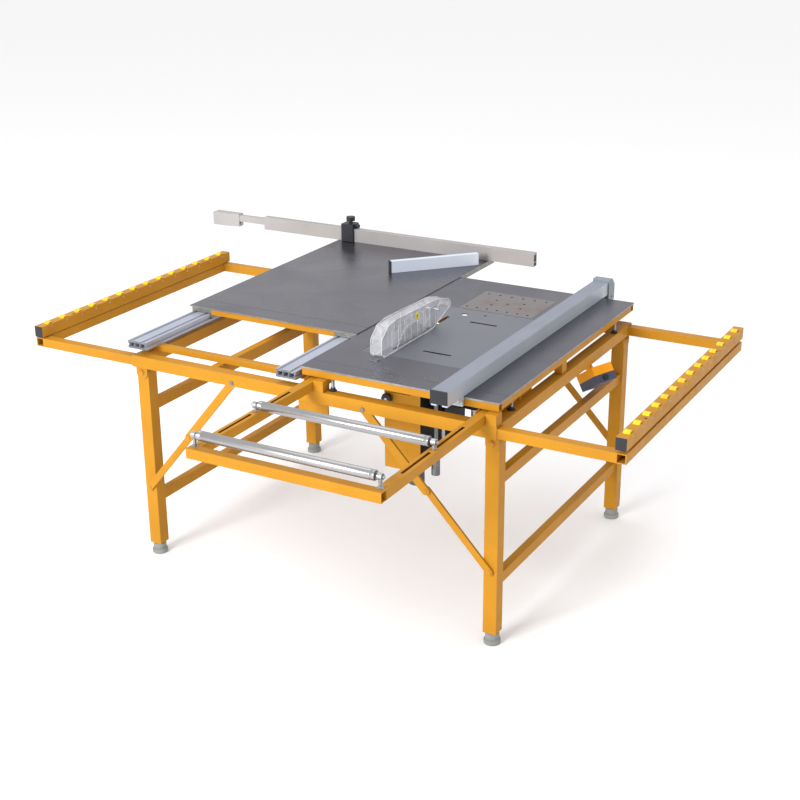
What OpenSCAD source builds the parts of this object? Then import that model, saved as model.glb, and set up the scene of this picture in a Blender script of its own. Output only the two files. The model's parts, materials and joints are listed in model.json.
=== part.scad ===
// Folding panel saw: sliding table, rip fence, leg frames with toggle braces,
// pull-out roller frame and two side extensions. Millimetres, +Z up, -Y is the operator's side.

/* [Stand] */
// distance between the outer faces of the left and right legs
leg_span = 1494; // [1480:1:1540]
// distance between the outer faces of the front and back legs
leg_depth = 1180; // [1170:1:1200]
// height of the main table's top
table_h = 900; // [880:1:920]
// side of the square leg tube
leg_w = 50; // [48:1:50]
// side of the square beam tube
beam_h = 44; // [44:1:46]

/* [Tables] */
// width of the main table
main_w = 760; // [750:1:765]
// depth of the main table
main_d = 1233; // [1225:1:1245]
// width of the sliding table
slide_w = 763; // [740:1:763]
// depth of the sliding table
slide_d = 1173; // [1150:1:1190]

/* [Extensions] */
// reach of the right extension beyond the legs
ext_r = 442; // [420:1:470]
// reach of the left extension beyond the legs
ext_l = 470; // [440:1:500]
// rollers on each extension
wheel_n = 14; // [10:1:14]
// reach of the front roller frame beyond the legs
frame_reach = 700; // [680:1:720]

/* [Fences] */
// length of the crosscut fence
cross_len = 1381; // [1350:1:1400]
// length of the rip fence
rip_len = 1390; // [1380:1:1400]
// length of the angle fence
mitre_len = 390; // [360:1:400]

/* [Saw] */
// blade diameter
blade_d = 254; // [230:1:256]
// number of blade teeth
teeth = 40; // [24:4:60]

/* [Hidden] */
$fn = 48;

// levels
beam_top = table_h - 72;
beam_bot = beam_top - beam_h;
pivot_z = beam_bot - 27;
leg_bot = 46;
slide_top_z = table_h + 3;

// stand outline
xr = leg_span / 2;
xl = -xr;
yb = leg_depth / 2;
set_out = 25;
yo = yb + set_out;
yi = yo - beam_h;
wall = 3;
clear = 0.5;
closed_len = 160;
lx = xr - leg_w / 2;
ly = yb - leg_w / 2;

// pins
pin_r = 6;
link_pin_r = 5;
run = 0.05;
arc_n = 16;

// legs
rail_hi_z = pivot_z - 142;
rail_lo_z = pivot_z - 520;
leg_rail_w = 30;
leg_rail_h = 40;
cap_z = 10;
ear_t = 5;
ear_gap = 0.5;
foot_r = 30;
foot_step_r = 25;
foot_step_z = 20;
stem_r = 8;

// braces: beam bolt A, leg bolt C, elbow halfway
ax_r = xr - 503;
ax_l = xl + 449;
az = beam_top - 32;
cz = pivot_z - 468;
link_t = 9.5;
link_w_hi = 30;
link_w_lo = 25;
y_hi = yo - wall - clear - link_t;
y_lo = y_hi - 0.3 - link_t;
bolt_head_r = 8;

// tables
mx1 = xr - 6;
mx0 = mx1 - main_w;
my0 = -yb + 5;
my1 = my0 + main_d;
sheet_t = 6;
frame_t = 25;
frame_z = table_h - sheet_t - frame_t;
sx0 = mx0 - 2 - slide_w;
sx1 = mx0 - 2;
sy0 = -206;
sy1 = sy0 + slide_d;
sheet_s = 5;

// sliding rails
rail_w = 84;
rail_h = 30;
rail_z = beam_top + 22;
rail_xl = xl - 24;
rail_xr = mx0 - 12 - rail_w;
rail_y0 = -yb - 12;
rail_y1 = yb + 60;

// saw
bx = mx0 + 196;
by = -140;
bz = table_h - 65;
kerf = 3;
hx0 = bx - 28;
hx1 = hx0 + 148;
hy0 = by - 160;
hy1 = by + 200;
hz0 = table_h - 455;
skin = 2.5;
port_x = hx0 + 108;
port_y = hy0 + 45;
port_r = 30;
port_len = 62;
plate_x = hx1 + 32;
motor_y = by + 110;
motor_z = bz - 145;
motor_r = 70;
rod_y1 = by - 55;
rod_y2 = by + 195;
rod_r = 8;
rod_z0 = table_h - 385;
screw_y = by - 110;
cross_y0 = hy0 - 60;
cross_y1 = rod_y2 + 90;
screw_x = plate_x + 5;
pulley_r = 18;
belt_t = 3;
cover_r = pulley_r + 7;

// extensions
arm_w = beam_h - 2 * wall - 1;
arm_h = 34;
arm_z = beam_bot + wall + 0.4;
arm_in = 100;
ext_xr = xr + ext_r;
ext_xl = xl - ext_l;
strip_w = 38;
strip_h = 43;
gap_r = 12;
gap_l = 4;
wheel_r = 18;
wheel_down = 10;
window = 34;
cap_t = 4;
wheel_t = 24;
axle_r = 3.5;

// front roller frame
rf_x1 = xr - 42;
rf_w = 692;
rf_x0 = rf_x1 - rf_w;
rf_tube = 34;
rf_z = beam_top + 0.5;
rf_y0 = -yb - frame_reach;
rf_y1 = -yb + 345;
roll_r = 16.5;
roll_z2 = table_h - roll_r + 2;
roll_z1 = roll_z2 + 16;
roll_gap = 14;
roll_pin_r = 5;
roll_y1 = rf_y0 + 27;
roll_y2 = -yb - 345;
post_r = 6;

// fences
cf_y = sy1 - 52;
cf_h = 60;
cf_x1 = xr - 557;
cf_x0 = cf_x1 - cross_len;
bar_w = 24;
bar_h = 30;
bar_end = 143;
bar_out = bar_end + 140;
mit_x = sx1 - 29;
mit_y = cf_y - 78;
mit_a = 136.6;
mit_pin_r = 5;
rip_x0 = xr - 195;
rip_w = 60;
rip_y0 = -yb - 110;

// centre of the whole machine's outline, which the origin stands under
mid_x = (cf_x0 - bar_out + ext_xr + 1) / 2;
mid_y = (rf_y0 + sy1) / 2;

module place() translate([-mid_x, -mid_y, 0]) children();

// ---- helpers ----
module block(x0, x1, y0, y1, z0, z1) translate([x0, y0, z0]) cube([x1 - x0, y1 - y0, z1 - z0]);

module tube_x(x0, x1, y0, y1, z0, z1, t) difference() {
    block(x0, x1, y0, y1, z0, z1);
    block(x0 - 1, x1 + 1, y0 + t, y1 - t, z0 + t, z1 - t);
}

module tube_y(x0, x1, y0, y1, z0, z1, t) difference() {
    block(x0, x1, y0, y1, z0, z1);
    block(x0 + t, x1 - t, y0 - 1, y1 + 1, z0 + t, z1 - t);
}

// cylinder along Y from y0 to y1
module rod_y(x, z, y0, y1, r) translate([x, y0, z]) rotate([-90, 0, 0]) cylinder(r = r, h = y1 - y0);

// cylinder along X from x0 to x1
module rod_x(y, z, x0, x1, r) translate([x0, y, z]) rotate([0, 90, 0]) cylinder(r = r, h = x1 - x0);

// flat bar with round ends, from the origin to x = l
module stadium(l, r) polygon([
    for (i = [0:arc_n]) [-r * sin(i * 180 / arc_n), -r * cos(i * 180 / arc_n)],
    for (i = [0:arc_n]) [l + r * sin(i * 180 / arc_n), r * cos(i * 180 / arc_n)]]);

module both_y() {
    children();
    mirror([0, 1, 0]) children();
}

// ---- stand ----
module cross_beam() difference() {
    block(xl, xr, -yo, -yi, beam_bot, beam_top);
    block(xl - 1, xr + 1, -yo + wall, -yi - wall, beam_bot + wall, beam_top - wall);
    block(xl + closed_len, xr - closed_len, -yo + wall, -yi - wall, beam_bot - 1, beam_top - wall);
    for (x = [ax_l, ax_r]) rod_y(x, az, -yo - 1, -yi + 1, link_pin_r + run);
}

module front_beam() color("orange") cross_beam();

module back_beam() color("orange") mirror([0, 1, 0]) cross_beam();

module long_beams() color("orange") {
    tube_y(xr - beam_h, xr, -yi, yi, beam_bot, beam_top, wall);
    tube_y(xl, xl + beam_h, -yi, yi, beam_bot, beam_top, wall);
    tube_y(xl + 328, xl + 358, -yi, yi, beam_bot, beam_top, wall);
    tube_y(rf_x0 - 46, rf_x0 - 16, -yi, yi, beam_bot, beam_top, wall);
}

module ear(x, y0) difference() {
    union() {
        block(x - leg_w / 2, x + leg_w / 2, y0, y0 + ear_t, pivot_z, beam_bot);
        rod_y(x, pivot_z, y0, y0 + ear_t, leg_w / 2);
    }
    rod_y(x, pivot_z, y0 - 1, y0 + ear_t + 1, pin_r + run);
}

module leg_brackets() color("orange") both_y() for (x = [-lx, lx]) {
    ear(x, -yb - ear_gap - ear_t);
    ear(x, -yb + leg_w + ear_gap);
}

module pivot_bolts() color("silver") both_y() {
    for (x = [-lx, lx]) {
        y0 = -yb - ear_gap - ear_t;
        y1 = -yb + leg_w + ear_gap + ear_t;
        rod_y(x, pivot_z, y0 - 5, y0, pin_r + 4);
        rod_y(x, pivot_z, y0, y1 + 6, pin_r);
    }
    for (x = [ax_l, ax_r]) {
        rod_y(x, az, -yo - 4, -yo, bolt_head_r);
        rod_y(x, az, -yo, -yi + 6, link_pin_r);
    }
}

// ---- leg frames ----
module leg_post(x, y0) difference() {
    union() {
        block(x - leg_w / 2, x + leg_w / 2, y0, y0 + leg_w, leg_bot, pivot_z);
        rod_y(x, pivot_z, y0, y0 + leg_w, leg_w / 2 - 0.5);
    }
    block(x - leg_w / 2 + wall, x + leg_w / 2 - wall, y0 + wall, y0 + leg_w - wall,
          leg_bot + cap_z, pivot_z - leg_w / 2);
    rod_y(x, pivot_z, y0 - 1, y0 + leg_w + 1, pin_r + run);
    translate([x, y0 + leg_w / 2, leg_bot - 1]) cylinder(r = stem_r + run, h = cap_z + 2);
}

module leg_pair(x) both_y() leg_post(x, -yb);

module leg_rails(x) for (z = [rail_hi_z, rail_lo_z])
    tube_y(x - leg_rail_w / 2, x + leg_rail_w / 2, -yb + leg_w, yb - leg_w,
           z - leg_rail_h / 2, z + leg_rail_h / 2, 2);

module feet(x) both_y() translate([x, -ly, 0]) {
    cylinder(r = foot_r, h = foot_step_z);
    translate([0, 0, foot_step_z]) cylinder(r = foot_step_r, h = leg_bot - foot_step_z);
    translate([0, 0, leg_bot]) cylinder(r = stem_r, h = cap_z + 16);
}

module right_legs() color("orange") leg_pair(lx);
module left_legs() color("orange") leg_pair(-lx);
module right_leg_rails() color("darkorange") leg_rails(lx);
module left_leg_rails() color("darkorange") leg_rails(-lx);
module right_feet() color("gray") feet(lx);
module left_feet() color("gray") feet(-lx);

// ---- toggle braces ----
// a flat link from (xa, za) to (xb, zb), thickness from y0 to y1
module link(xa, za, xb, zb, y0, y1, w, hole_a, hole_b) {
    l = sqrt(pow(xb - xa, 2) + pow(zb - za, 2));
    a = atan2(zb - za, xb - xa);
    difference() {
        translate([xa, y1, za]) rotate([0, -a, 0]) rotate([90, 0, 0])
            linear_extrude(y1 - y0) stadium(l, w / 2);
        rod_y(xa, za, y0 - 1, y1 + 1, hole_a);
        rod_y(xb, zb, y0 - 1, y1 + 1, hole_b);
    }
}

module upper_links(ax, cx) both_y() {
    ex = (ax + cx) / 2;
    ez = (az + cz) / 2;
    link(ax, az, ex, ez, -y_hi - link_t, -y_hi, link_w_hi, link_pin_r + run, link_pin_r - 0.01);
    rod_y(ex, ez, -y_hi - link_t, -yb - 0.6, link_pin_r - 0.01);
    rod_y(ex, ez, -y_hi - link_t - 3, -y_hi - link_t, bolt_head_r);
}

module lower_links(ax, cx) both_y() {
    ex = (ax + cx) / 2;
    ez = (az + cz) / 2;
    link(ex, ez, cx, cz, -y_lo - link_t, -y_lo, link_w_lo, link_pin_r + run, link_pin_r);
    rod_y(cx, cz, -y_lo - link_t, -yb - 0.3, link_pin_r);
    rod_y(cx, cz, -y_lo - link_t - 3, -y_lo - link_t, bolt_head_r);
}

module right_upper_links() color("goldenrod") upper_links(ax_r, lx);
module right_lower_links() color("gold") lower_links(ax_r, lx);
module left_upper_links() color("goldenrod") upper_links(ax_l, -lx);
module left_lower_links() color("gold") lower_links(ax_l, -lx);

// ---- rails for the sliding table ----
module rail_supports() color("orange") both_y() {
    tube_x(xl - 26, rf_x0 - 12, -yb + 60, -yb + 90, beam_top, rail_z, 2);
}

module rail(x) translate([x, rail_y1, rail_z]) rotate([90, 0, 0]) linear_extrude(rail_y1 - rail_y0)
difference() {
    square([rail_w, rail_h]);
    translate([10, rail_h - 4]) square([14, 5]);
    translate([rail_w - 24, rail_h - 4]) square([14, 5]);
    for (i = [0, 1, 2]) translate([8 + i * 24, 6]) square([20, 16]);
    translate([-1, 10]) square([5, 8]);
    translate([rail_w - 4, 10]) square([5, 8]);
}

module slide_rails() color("lightsteelblue") {
    rail(rail_xl);
    rail(rail_xr);
}

// ---- main table ----
stud_pos = [[mx0 + 125, -yb + 11], [mx1 - 19, -yb + 140], [mx1 - 8, yb - 127], [mx0 + 125, yb + 3]];

module table_studs() color("dimgray") {
    for (p = stud_pos) translate([p[0], p[1], beam_top]) {
        cylinder(r = 14, h = 12);
        translate([0, 0, 12]) cylinder(r = 6, h = frame_z - beam_top - 12);
    }
}

module table_frame() color("orange") {
    z1 = frame_z + frame_t;
    tube_x(mx0 + 2, mx1 - 2, my0 + 2, my0 + 27, frame_z, z1, 2);
    tube_x(mx0 + 2, mx1 - 2, my1 - 27, my1 - 2, frame_z, z1, 2);
    tube_y(mx0 + 2, mx0 + 27, my0 + 27, my1 - 27, frame_z, z1, 2);
    tube_y(mx1 - 27, mx1 - 2, my0 + 27, my1 - 27, frame_z, z1, 2);
    tube_x(mx0 + 27, mx1 - 27, cross_y0, cross_y0 + frame_t, frame_z, z1, 2);
    tube_x(mx0 + 27, mx1 - 27, cross_y1, cross_y1 + frame_t, frame_z, z1, 2);
}

ins_x0 = mx0 + 105;
ins_x1 = ins_x0 + 420;
ins_y0 = -yb + 243;
ins_y1 = ins_y0 + 610;
rp_y0 = ins_y1 + 14;
rp_y1 = rp_y0 + 240;
rp_x0 = ins_x0 + 70;
rp_x1 = rp_x0 + 310;
plate_t = 4;

module table_top() color("slategray") difference() {
    block(mx0, mx1, my0, my1, table_h - sheet_t, table_h);
    block(ins_x0 - 1, ins_x1 + 1, ins_y0 - 1, ins_y1 + 1, table_h - plate_t, table_h + 1);
    block(ins_x0 + 15, ins_x1 - 15, ins_y0 + 15, ins_y1 - 15, table_h - sheet_t - 1, table_h);
    block(rp_x0 - 1, rp_x1 + 1, rp_y0 - 1, rp_y1 + 1, table_h - plate_t, table_h + 1);
    block(rp_x0 + 15, rp_x1 - 15, rp_y0 + 15, rp_y1 - 15, table_h - sheet_t - 1, table_h);
    block(mx1 - 145, mx1 - 137, 45, 92, table_h - sheet_t - 1, table_h + 1);
    block(mx1 - 145, mx1 - 137, 320, 366, table_h - sheet_t - 1, table_h + 1);
    translate([mx1 - 119, -29, table_h - sheet_t - 1]) cylinder(r = 6, h = sheet_t + 2);
}

module screw_hole(x, y) translate([x, y, table_h - plate_t - 1]) cylinder(r = 5, h = plate_t + 2);

module insert_plates() color("lightslategray") {
    difference() {
        block(ins_x0, ins_x1, ins_y0, ins_y1, table_h - plate_t, table_h - 0.4);
        block(bx - 7, bx + 7, by - 145, by + 290, table_h - plate_t - 1, table_h + 1);
        block(ins_x0 + 195, ins_x0 + 305, ins_y0 + 95, ins_y0 + 107, table_h - plate_t - 1, table_h + 1);
        block(ins_x0 + 195, ins_x0 + 305, ins_y0 + 470, ins_y0 + 482, table_h - plate_t - 1, table_h + 1);
        translate([ins_x0 + 135, ins_y1 - 62, table_h - plate_t - 1]) cylinder(r = 13, h = plate_t + 2);
        translate([ins_x0 + 212, ins_y1 - 40, table_h - plate_t - 1]) cylinder(r = 6, h = plate_t + 2);
    }
    difference() {
        block(rp_x0, rp_x1, rp_y0, rp_y1, table_h - plate_t, table_h - 0.4);
        for (p = [[0, 0], [58, 30], [-61, 28], [-54, -36], [68, -30]])
            screw_hole((rp_x0 + rp_x1) / 2 + p[0], (rp_y0 + rp_y1) / 2 + p[1]);
        for (i = [0:5]) screw_hole(rp_x0 + 30 + i * 50, rp_y1 - 28);
        for (i = [0:6]) screw_hole(rp_x0 + 24 + i * 43, rp_y0 + 26);
    }
}

// ---- guides and frame of the front rollers ----
module arm_guides() color("orange") {
    block(xr - 38, xr - 8, -60, -20, beam_top, frame_z);
    block(rf_x0 - 36, rf_x0 - 18, 300, 340, beam_top, frame_z);
    for (x = [rf_x0, rf_x1 - rf_tube]) {
        block(x - 4.5, x - clear, -yo, -yi, beam_top, frame_z - 1.5);
        block(x + rf_tube + clear, x + rf_tube + 4.5, -yo, -yi, beam_top, frame_z - 1.5);
        block(x - 4.5, x - clear, cross_y0, cross_y0 + frame_t, beam_top - 4, frame_z);
        block(x + rf_tube + clear, x + rf_tube + 4.5, cross_y0, cross_y0 + frame_t, beam_top, frame_z);
        block(x - clear, x + rf_tube - 3, cross_y0, cross_y0 + frame_t, beam_top - 4, beam_top);
    }
    block(rf_x1 + 4.5, xr - 2, -yo, -yi, beam_top, frame_z - 1.5);
    block(rf_x0 + rf_tube + 4.5, rf_x0 + rf_tube + 40, -yo, -yi, beam_top, frame_z - 1.5);
    difference() {
        union() {
            block(rf_x0 - 52, rf_x0 + 70, -yi - 8, -yi, beam_bot - 46, beam_bot);
            translate([rf_x0 + 9, -yi, beam_bot - 46]) rotate([90, 0, 0]) scale([1, 0.7, 1])
                cylinder(r = 61, h = 8);
        }
        block(rf_x0 - 60, rf_x0 + 80, -yi - 10, -yi + 2, beam_bot - 120, beam_bot - 86);
    }
}

module arm(x) difference() {
    tube_y(x, x + rf_tube, rf_y0 + rf_tube, rf_y1, rf_z, rf_z + rf_tube, 3);
    for (s = [[150, 330], [350, 560]])
        block(x + 12, x + 22, rf_y0 + s[0], rf_y0 + s[1], rf_z + rf_tube - 5, rf_z + rf_tube + 1);
}

module roller_frame() color("orange") {
    tube_x(rf_x0, rf_x1, rf_y0, rf_y0 + rf_tube, rf_z, rf_z + rf_tube, 3);
    arm(rf_x0);
    arm(rf_x1 - rf_tube);
}

module post(x, y, roll_z) difference() {
    union() {
        translate([x, y, rf_z + rf_tube]) cylinder(r = 8.5, h = 4);
        translate([x, y, rf_z + rf_tube + 4]) cylinder(r = post_r, h = roll_z - rf_z - rf_tube - 8);
        rod_x(y, roll_z, x - 8, x + 8, 11);
    }
    rod_x(y, roll_z, x - 9, x + 9, roll_pin_r + run);
}

post_x0 = rf_x0 + rf_tube / 2;
post_x1 = rf_x1 - rf_tube / 2;

module roller_posts() color("silver") for (x = [post_x0, post_x1]) {
    post(x, roll_y1, roll_z1);
    post(x, roll_y2, roll_z2);
}

module long_roller(y, roll_z) {
    rod_x(y, roll_z, post_x0 + roll_gap, post_x1 - roll_gap, roll_r);
    rod_x(y, roll_z, post_x0 - 14, post_x0 + roll_gap, roll_pin_r);
    rod_x(y, roll_z, post_x1 - roll_gap, post_x1 + 14, roll_pin_r);
}

module front_roller() color("lightgray") long_roller(roll_y1, roll_z1);
module back_roller() color("lightgray") long_roller(roll_y2, roll_z2);

// ---- side extensions ----
module ext_frame(s, xo, gap) {
    x_out = s > 0 ? xo - arm_h : xo;
    ya = -yo + wall + clear;
    tube_y(x_out, x_out + arm_h, ya, -ya, arm_z, arm_z + arm_h, 3);
    xa = s > 0 ? xr - arm_in : xo + arm_h;
    xb = s > 0 ? xo - arm_h : xl + arm_in;
    both_y() tube_x(xa, xb, ya, ya + arm_w, arm_z, arm_z + arm_h, 3);
    for (y = [-500, -250, 0, 250, 500])
        translate([x_out + arm_h / 2, y, arm_z + arm_h]) cylinder(r = 5, h = gap);
}

// closed tube with a window over each wheel
module strip(s, xo, gap) {
    x0 = s > 0 ? xo + 1 - strip_w : xo - 1;
    z0 = arm_z + arm_h + gap;
    y1 = yo - cap_t;
    translate([x0, 0, z0]) {
        difference() {
            block(0, strip_w, -y1, y1, 0, strip_h);
            block(2, strip_w - 2, -y1 - 1, y1 + 1, 2, strip_h - 2);
            for (i = [0:wheel_n - 1]) translate([0, wheel_y(i), strip_h - 3])
                block(6, strip_w - 6, -window / 2, window / 2, 0, 4);
        }
        for (y = [-y1 - cap_t, y1]) block(0, strip_w, y, y + cap_t, 0, strip_h);
        for (i = [0:wheel_n - 1]) rod_x(wheel_y(i), strip_h - wheel_down, 1, strip_w - 1, axle_r);
    }
}

function wheel_y(i) = -yb + 30 + i * (2 * yb - 60) / (wheel_n - 1);

module wheels(s, xo, gap) {
    x0 = s > 0 ? xo + 1 - strip_w : xo - 1;
    z0 = arm_z + arm_h + gap;
    for (i = [0:wheel_n - 1]) difference() {
        rod_x(wheel_y(i), z0 + strip_h - wheel_down, x0 + 7, x0 + 7 + wheel_t, wheel_r);
        rod_x(wheel_y(i), z0 + strip_h - wheel_down, x0 + 6, x0 + 8 + wheel_t, axle_r + run);
    }
}

module right_ext_frame() color("orange") ext_frame(1, ext_xr, gap_r);
module right_strip() color("darkorange") strip(1, ext_xr, gap_r);
module right_wheels() color("yellow") wheels(1, ext_xr, gap_r);
module left_ext_frame() color("orange") ext_frame(-1, ext_xl, gap_l);
module left_strip() color("darkorange") strip(-1, ext_xl, gap_l);
module left_wheels() color("yellow") wheels(-1, ext_xl, gap_l);

// ---- sliding table ----
module slide_top() color("slategray") {
    block(sx0, sx1, sy0, sy1, slide_top_z - sheet_s, slide_top_z);
    translate([mit_x, mit_y, slide_top_z - 1]) cylinder(r = mit_pin_r, h = 13);
}

module slide_frame() color("orange") {
    z1 = slide_top_z - sheet_s;
    z0 = z1 - 22;
    x0 = rail_xl + rail_w + 4;
    x1 = rail_xr - 4;
    block(x0, x1, sy0 + 4, sy0 + 29, z0, z1);
    block(x0, x1, sy1 - 29, sy1 - 4, z0, z1);
    block(x0, x0 + 25, sy0 + 29, sy1 - 29, z0, z1);
    block(x1 - 25, x1, sy0 + 29, sy1 - 29, z0, z1);
}

module carriage(x, y) difference() {
    block(x - 4, x + rail_w + 4, y, y + 90, rail_z + 8, slide_top_z - sheet_s);
    block(x - 0.4, x + rail_w + 0.4, y - 1, y + 91, rail_z + 7, rail_z + rail_h + 0.4);
}

module carriages() color("darkgray") {
    for (x = [rail_xl, rail_xr], y = [sy0 + 4, sy0 + 640]) carriage(x, y);
    block(sx1 - 5, sx1 - 0.5, sy0 + 560, sy1, slide_top_z - sheet_s - 16, slide_top_z - sheet_s);
}

module cross_fence() color("gainsboro") {
    difference() {
        block(cf_x0, cf_x1, cf_y, cf_y + 30, slide_top_z, slide_top_z + cf_h);
        block(cf_x0 - 1, cf_x1 + 1, cf_y + 2.6, cf_y + 27.4, slide_top_z + 20, slide_top_z + 51);
        block(cf_x0 - 1, cf_x1 + 1, cf_y + 3, cf_y + 27, slide_top_z + 3, slide_top_z + 17);
        block(cf_x0 - 1, cf_x1 + 1, cf_y + 11, cf_y + 19, slide_top_z + 54, slide_top_z + cf_h + 1);
    }
}

module fence_bar() color("whitesmoke") {
    z0 = slide_top_z + 20.5;
    block(cf_x0 - bar_end, cf_x0 + 300, cf_y + 3, cf_y + 27, z0, z0 + bar_h);
    difference() {
        block(cf_x0 - bar_out, cf_x0 - bar_end, cf_y - 14, cf_y + 34, slide_top_z - 4, slide_top_z + 56);
        translate([cf_x0 - bar_end, cf_y - 15, slide_top_z - 5])
            linear_extrude(62) polygon([[-70, 0], [1, 0], [1, 16]]);
    }
}

fs_x = sx0 + 55;

module flip_stop() color("dimgray") {
    difference() {
        block(fs_x - 30, fs_x + 30, cf_y - 14, cf_y + 42, slide_top_z + 2, slide_top_z + cf_h + 22);
        block(fs_x - 31, fs_x + 31, cf_y - 0.5, cf_y + 30.5, slide_top_z + 1, slide_top_z + cf_h + 0.5);
    }
    translate([fs_x + 4, cf_y + 15, slide_top_z + cf_h + 22]) cylinder(r = 8, h = 12);
    translate([fs_x + 4, cf_y + 15, slide_top_z + cf_h + 34]) cylinder(r = 20, h = 18);
    rod_x(cf_y + 15, slide_top_z + cf_h + 12, fs_x + 30, fs_x + 48, 9);
}

module mitre_bar() color("aliceblue") translate([mit_x, mit_y, slide_top_z + 0.3]) {
    rotate([0, 0, mit_a]) {
        difference() {
            translate([-12, -12, 0]) cube([24, mitre_len, 50]);
            translate([-9, -13, 14]) cube([18, mitre_len + 2, 33]);
            translate([0, 0, -1]) cylinder(r = mit_pin_r + run, h = 16);
        }
        translate([-12.5, mitre_len - 12, 0]) cube([25, 6, 50.5]);
    }
}

// ---- rip fence ----
module rip_fence() color("lightsteelblue") {
    difference() {
        block(rip_x0, rip_x0 + rip_w, rip_y0, rip_y0 + rip_len, table_h + 0.5, table_h + 54);
        block(rip_x0 + 3, rip_x0 + rip_w - 3, rip_y0 - 1, rip_y0 + rip_len + 1, table_h + 16, table_h + 51);
        block(rip_x0 + 20, rip_x0 + 40, rip_y0 - 1, rip_y0 + rip_len + 1, table_h - 1, table_h + 8);
    }
    block(rip_x0 + 8, rip_x0 + 62, my0 - 40, my0 - 1, table_h - 12, table_h + 0.5);
    block(rip_x0 + 8, rip_x0 + 62, my0 - 12, my0 - 1, frame_z, table_h - 12);
}

module rip_cap() color("black")
    block(rip_x0 - 1, rip_x0 + rip_w + 1, rip_y0 - 6, rip_y0, table_h + 8, table_h + 55);

lever_y = rip_y0 + rip_len + 31;
lever_z = table_h - 12;

module rip_lock() color("steelblue") {
    y0 = rip_y0 + rip_len;
    difference() {
        block(rip_x0 - 4, rip_x0 + rip_w + 6, y0, y0 + 62, table_h - 30, table_h + 62);
        translate([rip_x0 - 5, y0 + 34, table_h + 63]) rotate([-45, 0, 0]) cube([rip_w + 12, 60, 40]);
        block(rip_x0 + 16, rip_x0 + rip_w - 14, y0 + 18, y0 + 63, table_h - 31, table_h + 4);
        rod_x(lever_y, lever_z, rip_x0 - 5, rip_x0 + rip_w + 7, 5 + run);
    }
    block(rip_x0 + 4, rip_x0 + rip_w - 4, my1 + 1, y0, table_h - 30, table_h - 14);
}

module rip_lever() color("black") {
    rod_x(lever_y, lever_z, rip_x0 - 4, rip_x0 + rip_w + 6, 5);
    rod_x(lever_y, lever_z, rip_x0 + 16.5, rip_x0 + rip_w - 14.5, 11);
    block(rip_x0 + 22, rip_x0 + 38, lever_y - 5, lever_y + 5, table_h - 80, lever_z);
}

// ---- saw ----
module saw_housing() color("orange") {
    difference() {
        block(hx0, hx1, hy0, hy1, hz0, table_h - plate_t);
        block(hx0 + skin, hx1 - skin, hy0 + skin, hy1 - skin, hz0 + skin, table_h);
        block(hx0 + 32, hx0 + 108, hy0 - 1, hy0 + 4, beam_bot - 42, beam_bot - 22);
        block(hx1 - 4, hx1 + 1, by - 30, by + 30, bz - 90, table_h);
        translate([port_x, port_y, hz0 - 1]) cylinder(r = port_r - 6, h = 5);
        rod_y(knob_x, knob_z, hy0 - 1, hy0 + 4, pin_r + run);
    }
    block(hx0, hx1, cross_y0, hy0, frame_z - 3, frame_z);
    block(hx0, hx1, hy1, cross_y1 + frame_t, frame_z - 3, frame_z);
}

module dust_port() color("darkslategray") translate([port_x, port_y, hz0 - port_len]) difference() {
    cylinder(r = port_r, h = port_len);
    translate([0, 0, -1]) cylinder(r = port_r - 4, h = port_len + 2);
}

module lift_guides() color("silver") {
    for (y = [rod_y1, rod_y2]) translate([plate_x + 5, y, rod_z0])
        cylinder(r = rod_r, h = frame_z - rod_z0 - 6);
    difference() {
        block(plate_x - 12, plate_x + 22, screw_y - 22, rod_y2 + 20, rod_z0 - 14, rod_z0);
        translate([screw_x, screw_y, rod_z0 - 15]) cylinder(r = rod_r + run, h = 16);
    }
    difference() {
        block(plate_x - 12, plate_x + 22, screw_y - 22, rod_y2 + 20, frame_z - 6, frame_z);
        translate([screw_x, screw_y, frame_z - 7]) cylinder(r = rod_r + run, h = 8);
    }
    block(plate_x - 12, plate_x + 22, cross_y0, screw_y - 22, frame_z - 6, frame_z);
    block(plate_x - 12, plate_x + 22, rod_y2 + 20, cross_y1 + frame_t, frame_z - 6, frame_z);
}

module riving_knife() color("gainsboro") {
    block(bx - 1.2, bx + 1.2, by + 140, by + 190, table_h - 110, table_h + 75);
    block(hx0 + skin, bx - 1.2, by + 145, hy1 - skin, table_h - 110, table_h - 60);
    rod_x(guard_py, guard_pz, bx - 26, bx + 26, 4);
}

module saw_blade() color("silver") difference() {
    rod_x(by, bz, bx - kerf / 2, bx + kerf / 2, blade_d / 2);
    for (i = [0:teeth - 1])
        translate([bx, by, bz]) rotate([i * 360 / teeth, 0, 0]) translate([-kerf, 0, blade_d / 2 - 7])
            linear_extrude(9) square([2 * kerf, 5]);
    rod_x(by, bz, bx - kerf, bx + kerf, 12 + run);
}

module arbor() color("gray") {
    rod_x(by, bz, bx - 18, plate_x + 118, 12);
    for (x = [bx - kerf / 2 - 6, bx + kerf / 2]) difference() {
        rod_x(by, bz, x, x + 6, 30);
        rod_x(by, bz, x - 1, x + 7, 12);
    }
    difference() {
        rod_x(by, bz, hx1 + 6, hx1 + 24, pulley_r);
        rod_x(by, bz, hx1 + 5, hx1 + 25, 12);
    }
}

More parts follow.
